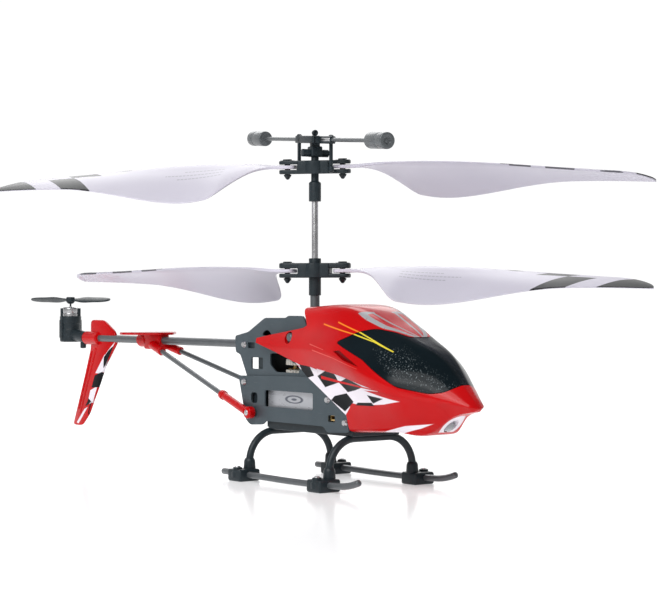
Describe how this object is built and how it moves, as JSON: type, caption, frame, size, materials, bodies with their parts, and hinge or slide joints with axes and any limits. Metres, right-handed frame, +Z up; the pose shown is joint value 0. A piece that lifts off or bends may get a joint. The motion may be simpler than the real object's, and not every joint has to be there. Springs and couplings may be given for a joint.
{
  "type": "remote control helicopter",
  "caption": "Toy coaxial helicopter: stacked folding rotors with a flybar, gear drive, tail rotor, skids, moulded canopy and metal side frames.",
  "frame": {"origin": "bottom centre of the whole helicopter's box, on the ground plane under the four feet", "axes": "+X towards the nose, +Y to port (the pilot's left), +Z up; the rotor mast is 35.86 mm ahead of the origin"},
  "size_m": [0.231, 0.1336, 0.1035],
  "materials": {
    "red_gloss_plastic": "moulded gloss red with printed decals",
    "slate_aluminium": "anodised slate grey, fine brushed",
    "black_plastic": "satin black moulding",
    "grey_tube": "dark grey anodised tube",
    "steel": "bright steel",
    "brass": "machined brass",
    "pale_blade": "semi-gloss pale lavender white with printed black checks",
    "cream_gear": "natural acetal",
    "smoked_window": "near-black gloss with fine metallic flakes",
    "silver_wrap": "silver battery wrap",
    "green_board": "solder-masked board",
    "clear_lamp": "clear lamp resin"
  },
  "bodies": {
    "airframe": {"chassis_frame": "black_plastic", "upper_side_plate_left": "slate_aluminium", "upper_side_plate_right": "slate_aluminium", "lower_side_plate_left": "slate_aluminium", "lower_side_plate_right": "slate_aluminium", "battery": "silver_wrap", "circuit_board": "green_board", "charge_socket": "brass", "front_motor": "steel", "rear_motor": "steel", "frame_screw_rear_upper": "steel", "frame_screw_rear_lower": "steel", "frame_screw_front_upper": "steel", "frame_screw_front_lower": "steel", "mast_bearing_top": "steel", "mast_bearing_bottom": "steel", "canopy": "red_gloss_plastic", "windshield": "smoked_window", "nose_lamp": "clear_lamp", "belly_base": "black_plastic", "front_skid_bow": "black_plastic", "rear_skid_bow": "black_plastic", "skid_tube_left": "grey_tube", "skid_tube_right": "grey_tube", "tail_boom": "grey_tube", "tail_bracket": "red_gloss_plastic", "vertical_fin": "red_gloss_plastic", "tail_motor_holder": "black_plastic", "tail_motor": "steel", "tail_strut_left": "grey_tube", "tail_strut_right": "grey_tube", "tail_strut_end_left": "red_gloss_plastic", "tail_strut_end_right": "red_gloss_plastic"},
    "lower_rotor": {"outer_shaft": "grey_tube", "lower_rotor_gear": "cream_gear", "lower_blade_grip": "black_plastic", "lower_blade_screw_front": "black_plastic", "lower_blade_screw_rear": "black_plastic"},
    "lower_blade_front": {"lower_blade_front": "pale_blade"},
    "lower_blade_rear": {"lower_blade_rear": "pale_blade"},
    "upper_rotor": {"inner_shaft": "steel", "upper_rotor_gear": "cream_gear", "rotor_head": "black_plastic"},
    "upper_grip": {"upper_blade_grip": "black_plastic", "upper_blade_screw_front": "black_plastic", "upper_blade_screw_rear": "black_plastic"},
    "upper_blade_front": {"upper_blade_front": "pale_blade"},
    "upper_blade_rear": {"upper_blade_rear": "pale_blade"},
    "flybar": {"flybar_frame": "black_plastic", "flybar_rod_front": "grey_tube", "flybar_rod_rear": "grey_tube"},
    "flybar_link_front": {"flybar_link_front": "black_plastic"},
    "flybar_link_rear": {"flybar_link_rear": "black_plastic"},
    "front_pinion": {"front_pinion": "brass"},
    "rear_pinion": {"rear_pinion": "brass"},
    "tail_rotor": {"tail_rotor": "black_plastic"},
    "power_switch": {"power_switch": "black_plastic"}
  },
  "joints": [
    {"name": "lower_rotor_spin", "type": "hinge", "parent": "airframe", "child": "lower_rotor", "pos_m": [0.03586, -0.00032, 0.05975], "axis": [0, 0, 1], "continuous": true},
    {"name": "upper_rotor_spin", "type": "hinge", "parent": "airframe", "child": "upper_rotor", "pos_m": [0.03586, -0.00032, 0.0895], "axis": [0, 0, 1], "continuous": true},
    {"name": "front_pinion_spin", "type": "hinge", "parent": "airframe", "child": "front_pinion", "pos_m": [0.04546, -0.00032, 0.033], "axis": [0, 0, 1], "continuous": true},
    {"name": "rear_pinion_spin", "type": "hinge", "parent": "airframe", "child": "rear_pinion", "pos_m": [0.02626, -0.00032, 0.03], "axis": [0, 0, 1], "continuous": true},
    {"name": "tail_rotor_spin", "type": "hinge", "parent": "airframe", "child": "tail_rotor", "pos_m": [-0.10414, -0.00032, 0.0513], "axis": [0, 0, 1], "continuous": true},
    {"name": "lower_front_blade_fold", "type": "hinge", "parent": "lower_rotor", "child": "lower_blade_front", "pos_m": [0.04215, 0.00477, 0.05975], "axis": [0, 0, 1], "range_deg": [-90, 90]},
    {"name": "lower_rear_blade_fold", "type": "hinge", "parent": "lower_rotor", "child": "lower_blade_rear", "pos_m": [0.02957, -0.00542, 0.05975], "axis": [0, 0, 1], "range_deg": [-66, 113]},
    {"name": "flybar_tilt", "type": "hinge", "parent": "upper_rotor", "child": "flybar", "pos_m": [0.03586, -0.00032, 0.0973], "axis": [0.225, 0.9744, 0], "range_deg": [-13, 7]},
    {"name": "upper_grip_tilt", "type": "hinge", "parent": "upper_rotor", "child": "upper_grip", "pos_m": [0.03586, -0.00032, 0.0895], "axis": [0.7771, 0.6293, 0], "range_deg": [-20.33, 10.99]},
    {"name": "upper_front_blade_fold", "type": "hinge", "parent": "upper_grip", "child": "upper_blade_front", "pos_m": [0.04215, 0.00477, 0.0895], "axis": [0.0472, -0.0583, 0.9972], "range_deg": [-60, 90]},
    {"name": "upper_rear_blade_fold", "type": "hinge", "parent": "upper_grip", "child": "upper_blade_rear", "pos_m": [0.02957, -0.00542, 0.0895], "axis": [0.0472, -0.0583, 0.9972], "range_deg": [-60, 90]},
    {"name": "front_link_slide", "type": "slide", "parent": "upper_rotor", "child": "flybar_link_front", "axis": [0, 0, 1], "range_m": [-0.001, 0.0018]},
    {"name": "rear_link_slide", "type": "slide", "parent": "upper_rotor", "child": "flybar_link_rear", "axis": [0, 0, 1], "range_m": [-0.0018, 0.001]},
    {"name": "power_switch_slide", "type": "slide", "parent": "airframe", "child": "power_switch", "axis": [1, 0, 0], "range_m": [0, 0.0022]}
  ],
  "couplings": [
    {"joint": "front_pinion_spin", "follows": "lower_rotor_spin", "ratio": -5},
    {"joint": "rear_pinion_spin", "follows": "upper_rotor_spin", "ratio": -5},
    {"joint": "upper_grip_tilt", "follows": "flybar_tilt", "ratio": 1.5561},
    {"joint": "front_link_slide", "follows": "flybar_tilt", "m_per_rad": -0.0072},
    {"joint": "rear_link_slide", "follows": "flybar_tilt", "m_per_rad": 0.0072}
  ]
}
